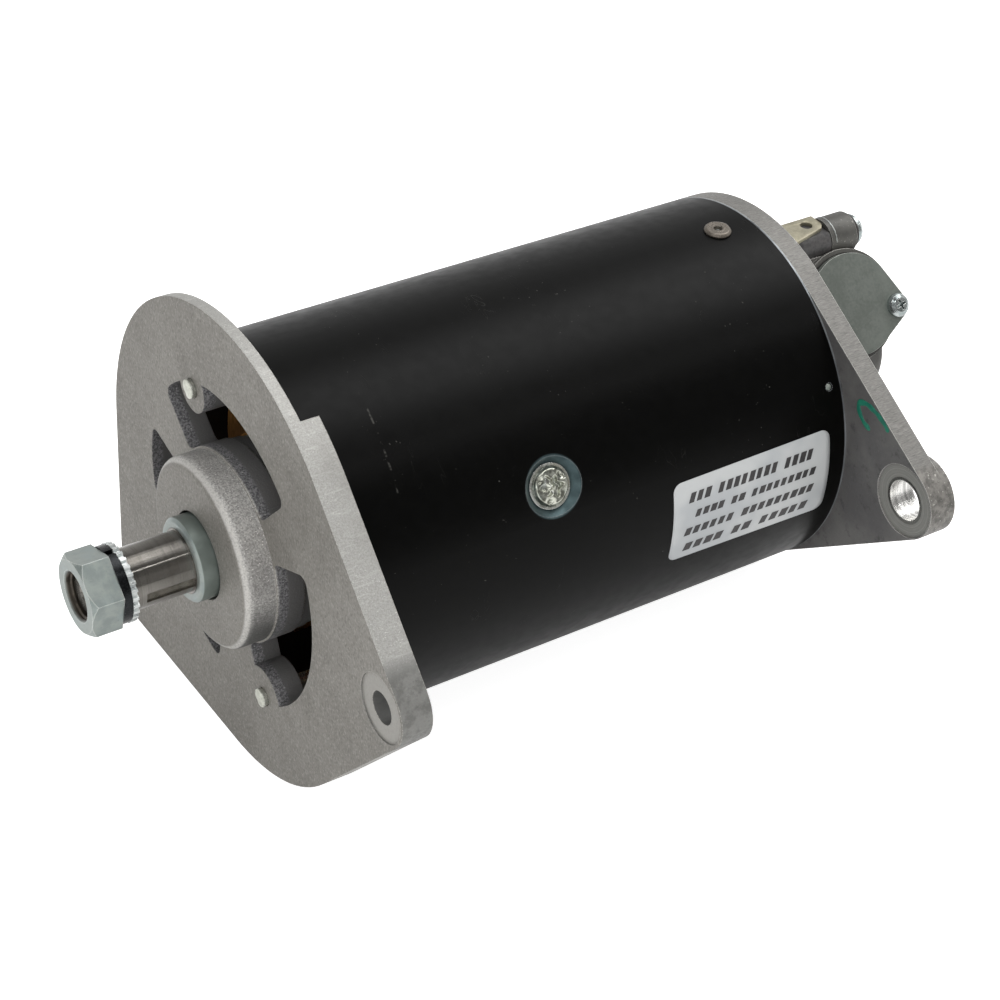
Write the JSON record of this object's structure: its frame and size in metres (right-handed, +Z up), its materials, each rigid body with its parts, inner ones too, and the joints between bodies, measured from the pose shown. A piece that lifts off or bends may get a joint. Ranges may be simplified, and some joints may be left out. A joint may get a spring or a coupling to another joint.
{
  "type": "automotive generator",
  "caption": "Direct-current engine generator with a pulley shaft, ventilated front plate with mounting lugs, plain yoke and rear tachometer drive.",
  "frame": {"origin": "on the shaft axis at the pulley shoulder, which is the front face of the collar", "axes": "+X along the shaft from the drive end to the rear, +Y level and away from the pivot lugs, +Z up"},
  "size_m": [0.2434, 0.1496, 0.1289],
  "materials": {
    "black_paint": "satin black",
    "cast_aluminium": "matte sand-cast grey",
    "cast_rear": "matte cast grey, linished edge",
    "housing_metal": "dull die-cast brownish grey",
    "shaft_steel": "ground steel",
    "zinc_steel": "zinc plated, slightly blue",
    "screw_steel": "bright steel",
    "dark_steel": "dark oiled steel",
    "bearing_steel": "polished",
    "brass": "stamped brass",
    "bronze": "sintered bronze",
    "copper": "bare copper",
    "winding": "varnished copper winding",
    "tape": "varnished cotton tape",
    "insulation": "pressed fibre",
    "moulding": "dull brown-grey moulding",
    "felt": "oiled felt",
    "carbon": "pressed carbon",
    "cover_plate": "dull zinc plate",
    "blade_metal": "tinned brass"
  },
  "bodies": {
    "stator": {"yoke": "black_paint", "drive_end_bracket": "cast_aluminium", "commutator_end_bracket": "cast_rear", "pole_shoes": "dark_steel", "field_coils": "tape", "pole_screws": "screw_steel", "through_bolts": "screw_steel", "bolt_spring_washers": "zinc_steel", "bearing_outer_race": "bearing_steel", "bearing_retainer": "zinc_steel", "retainer_rivets": "zinc_steel", "felt_ring": "felt", "felt_pressure_ring": "zinc_steel", "rear_bush": "bronze", "brush_boxes": "brass", "box_insulators": "insulation", "spring_posts": "dark_steel", "terminal_block": "moulding", "main_blade": "blade_metal", "terminal_screw": "zinc_steel", "terminal_washer": "insulation", "locating_peg": "dark_steel", "yoke_rivet": "screw_steel", "tacho_housing": "housing_metal", "tacho_housing_screws": "zinc_steel", "tacho_gasket": "insulation", "tacho_cover": "cover_plate", "tacho_cover_screws": "zinc_steel", "tacho_bushes": "bronze"},
    "armature": {"shaft": "shaft_steel", "pulley_collar": "zinc_steel", "toothed_washer": "zinc_steel", "spring_washer": "zinc_steel", "shaft_nut": "zinc_steel", "bearing_inner_race": "bearing_steel", "armature_core": "dark_steel", "armature_winding": "winding", "commutator": "copper", "commutator_hub": "insulation", "drive_worm": "screw_steel"},
    "ball_set": {"bearing_balls": "bearing_steel", "bearing_cage": "brass"},
    "brush_unit_a": {"brush_a": "carbon"},
    "brush_unit_b": {"brush_b": "carbon"},
    "arm_unit_a": {"spring_arm_a": "dark_steel"},
    "arm_unit_b": {"spring_arm_b": "dark_steel"},
    "tacho_unit": {"tacho_wheel": "bronze", "tacho_spindle": "shaft_steel"}
  },
  "joints": [
    {"name": "armature_spin", "type": "hinge", "parent": "stator", "child": "armature", "pos_m": [0, 0, 0], "axis": [1, 0, 0], "continuous": true},
    {"name": "ball_set_spin", "type": "hinge", "parent": "stator", "child": "ball_set", "pos_m": [0.018, 0, 0], "axis": [1, 0, 0], "continuous": true},
    {"name": "tacho_spin", "type": "hinge", "parent": "stator", "child": "tacho_unit", "pos_m": [0.1972, 0.00602, 0.0086], "axis": [0, -0.8192, 0.5736], "continuous": true},
    {"name": "brush_a_slide", "type": "slide", "parent": "stator", "child": "brush_unit_a", "axis": [0, -0.8829, 0.4695], "range_m": [0, 0.002], "stiffness_N_per_m": 300, "springref_m": -0.02},
    {"name": "brush_b_slide", "type": "slide", "parent": "stator", "child": "brush_unit_b", "axis": [0, 0.8829, -0.4695], "range_m": [0, 0.002], "stiffness_N_per_m": 300, "springref_m": -0.02},
    {"name": "spring_arm_a_turn", "type": "hinge", "parent": "stator", "child": "arm_unit_a", "pos_m": [0.1462, -0.02215, 0.0265], "axis": [-1, 0, 0], "range_deg": [0, 9]},
    {"name": "spring_arm_b_turn", "type": "hinge", "parent": "stator", "child": "arm_unit_b", "pos_m": [0.1462, 0.02215, -0.0265], "axis": [-1, 0, 0], "range_deg": [0, 9]}
  ],
  "couplings": [
    {"joint": "ball_set_spin", "follows": "armature_spin", "ratio": 0.41053},
    {"joint": "tacho_spin", "follows": "armature_spin", "ratio": -0.25},
    {"joint": "spring_arm_a_turn", "follows": "brush_a_slide", "rad_per_m": 76.923},
    {"joint": "spring_arm_b_turn", "follows": "brush_b_slide", "rad_per_m": 76.923}
  ]
}
